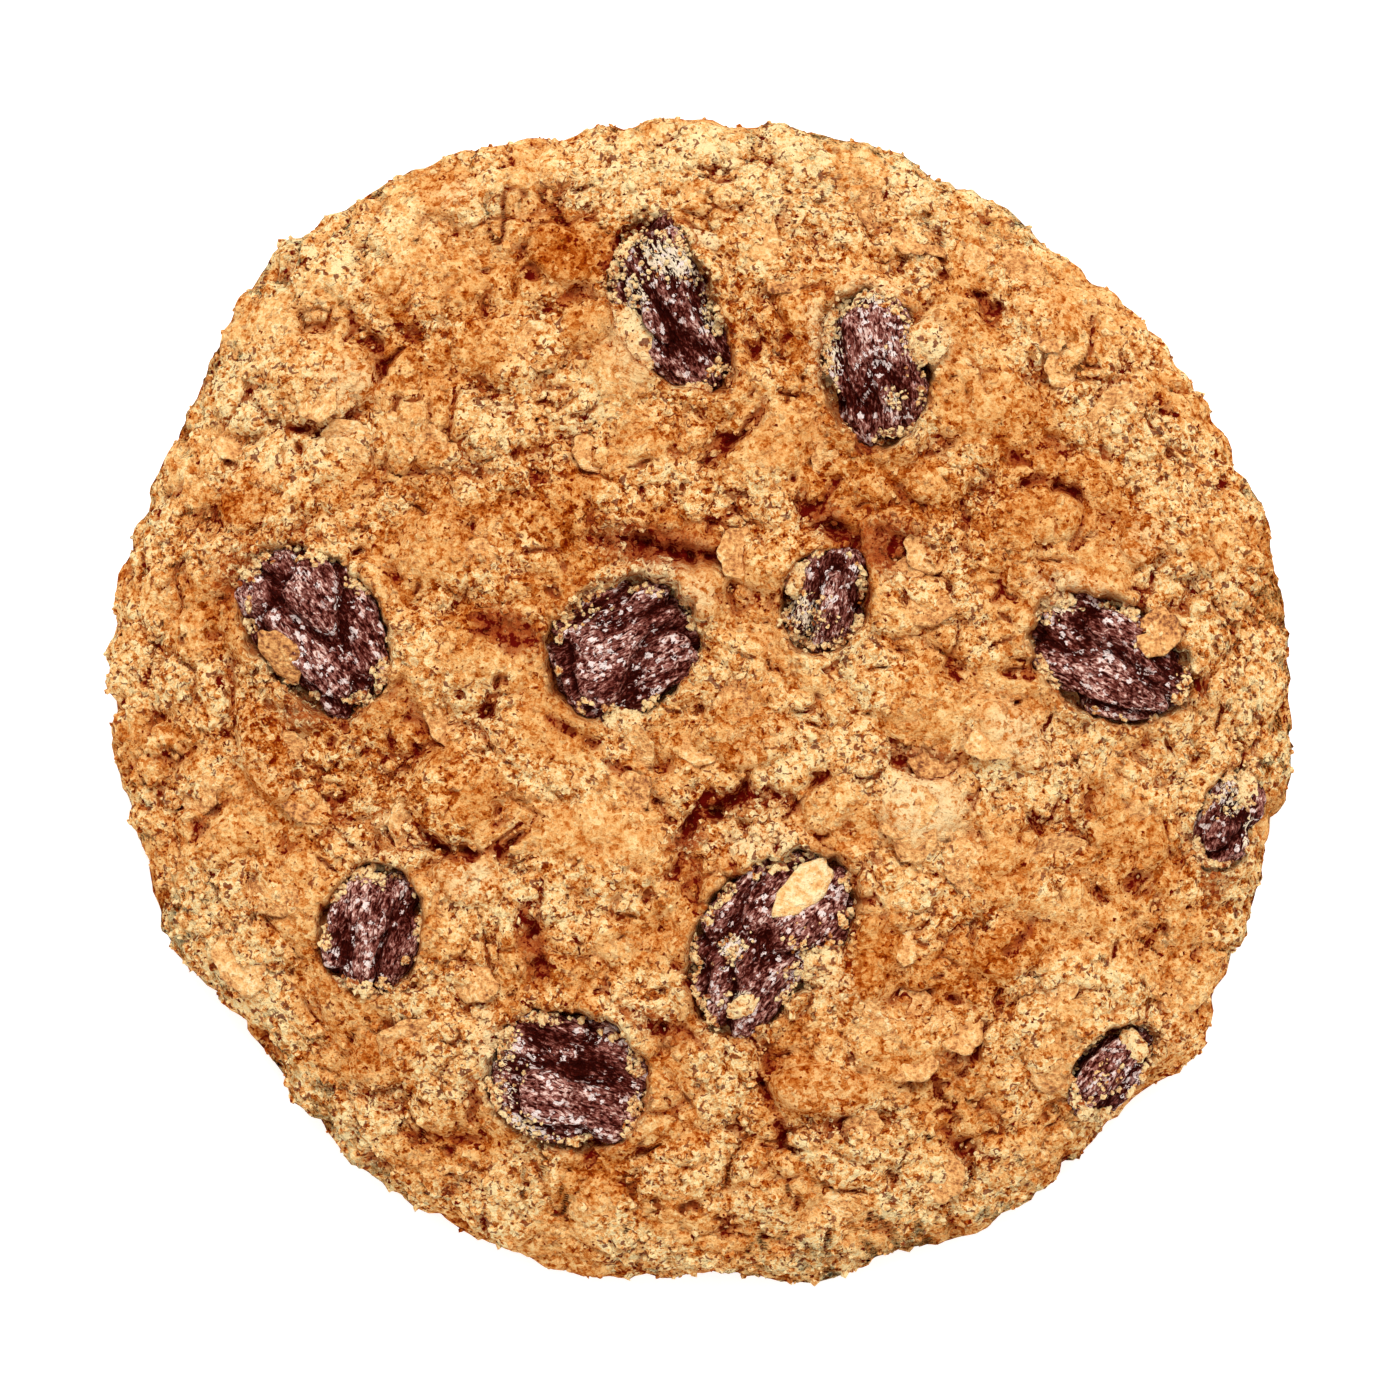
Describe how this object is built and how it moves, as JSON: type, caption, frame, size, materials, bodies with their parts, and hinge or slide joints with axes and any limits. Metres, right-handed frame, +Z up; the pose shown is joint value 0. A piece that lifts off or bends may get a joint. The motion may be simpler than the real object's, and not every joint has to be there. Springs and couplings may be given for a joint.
{
  "type": "oatmeal raisin cookie",
  "caption": "Round baked oatmeal cookie with a low dome, craggy crumbly crust, flat underside and raisins set into its top.",
  "frame": {"origin": "middle of the cookie's box, on the surface that the flat underside lies on", "axes": "+Z up through the crust, +Y to the back as seen from above, +X to the right"},
  "size_m": [0.0848, 0.0832, 0.0127],
  "materials": {
    "dough": "matte, dry and crumbly",
    "raisin": "wrinkled skin with a soft sheen"
  },
  "bodies": {
    "root": {"dough": "dough", "raisin_01": "raisin", "raisin_02": "raisin", "raisin_03": "raisin", "raisin_04": "raisin", "raisin_05": "raisin", "raisin_06": "raisin", "raisin_07": "raisin", "raisin_08": "raisin", "raisin_09": "raisin", "raisin_10": "raisin", "raisin_11": "raisin"}
  },
  "joints": []
}
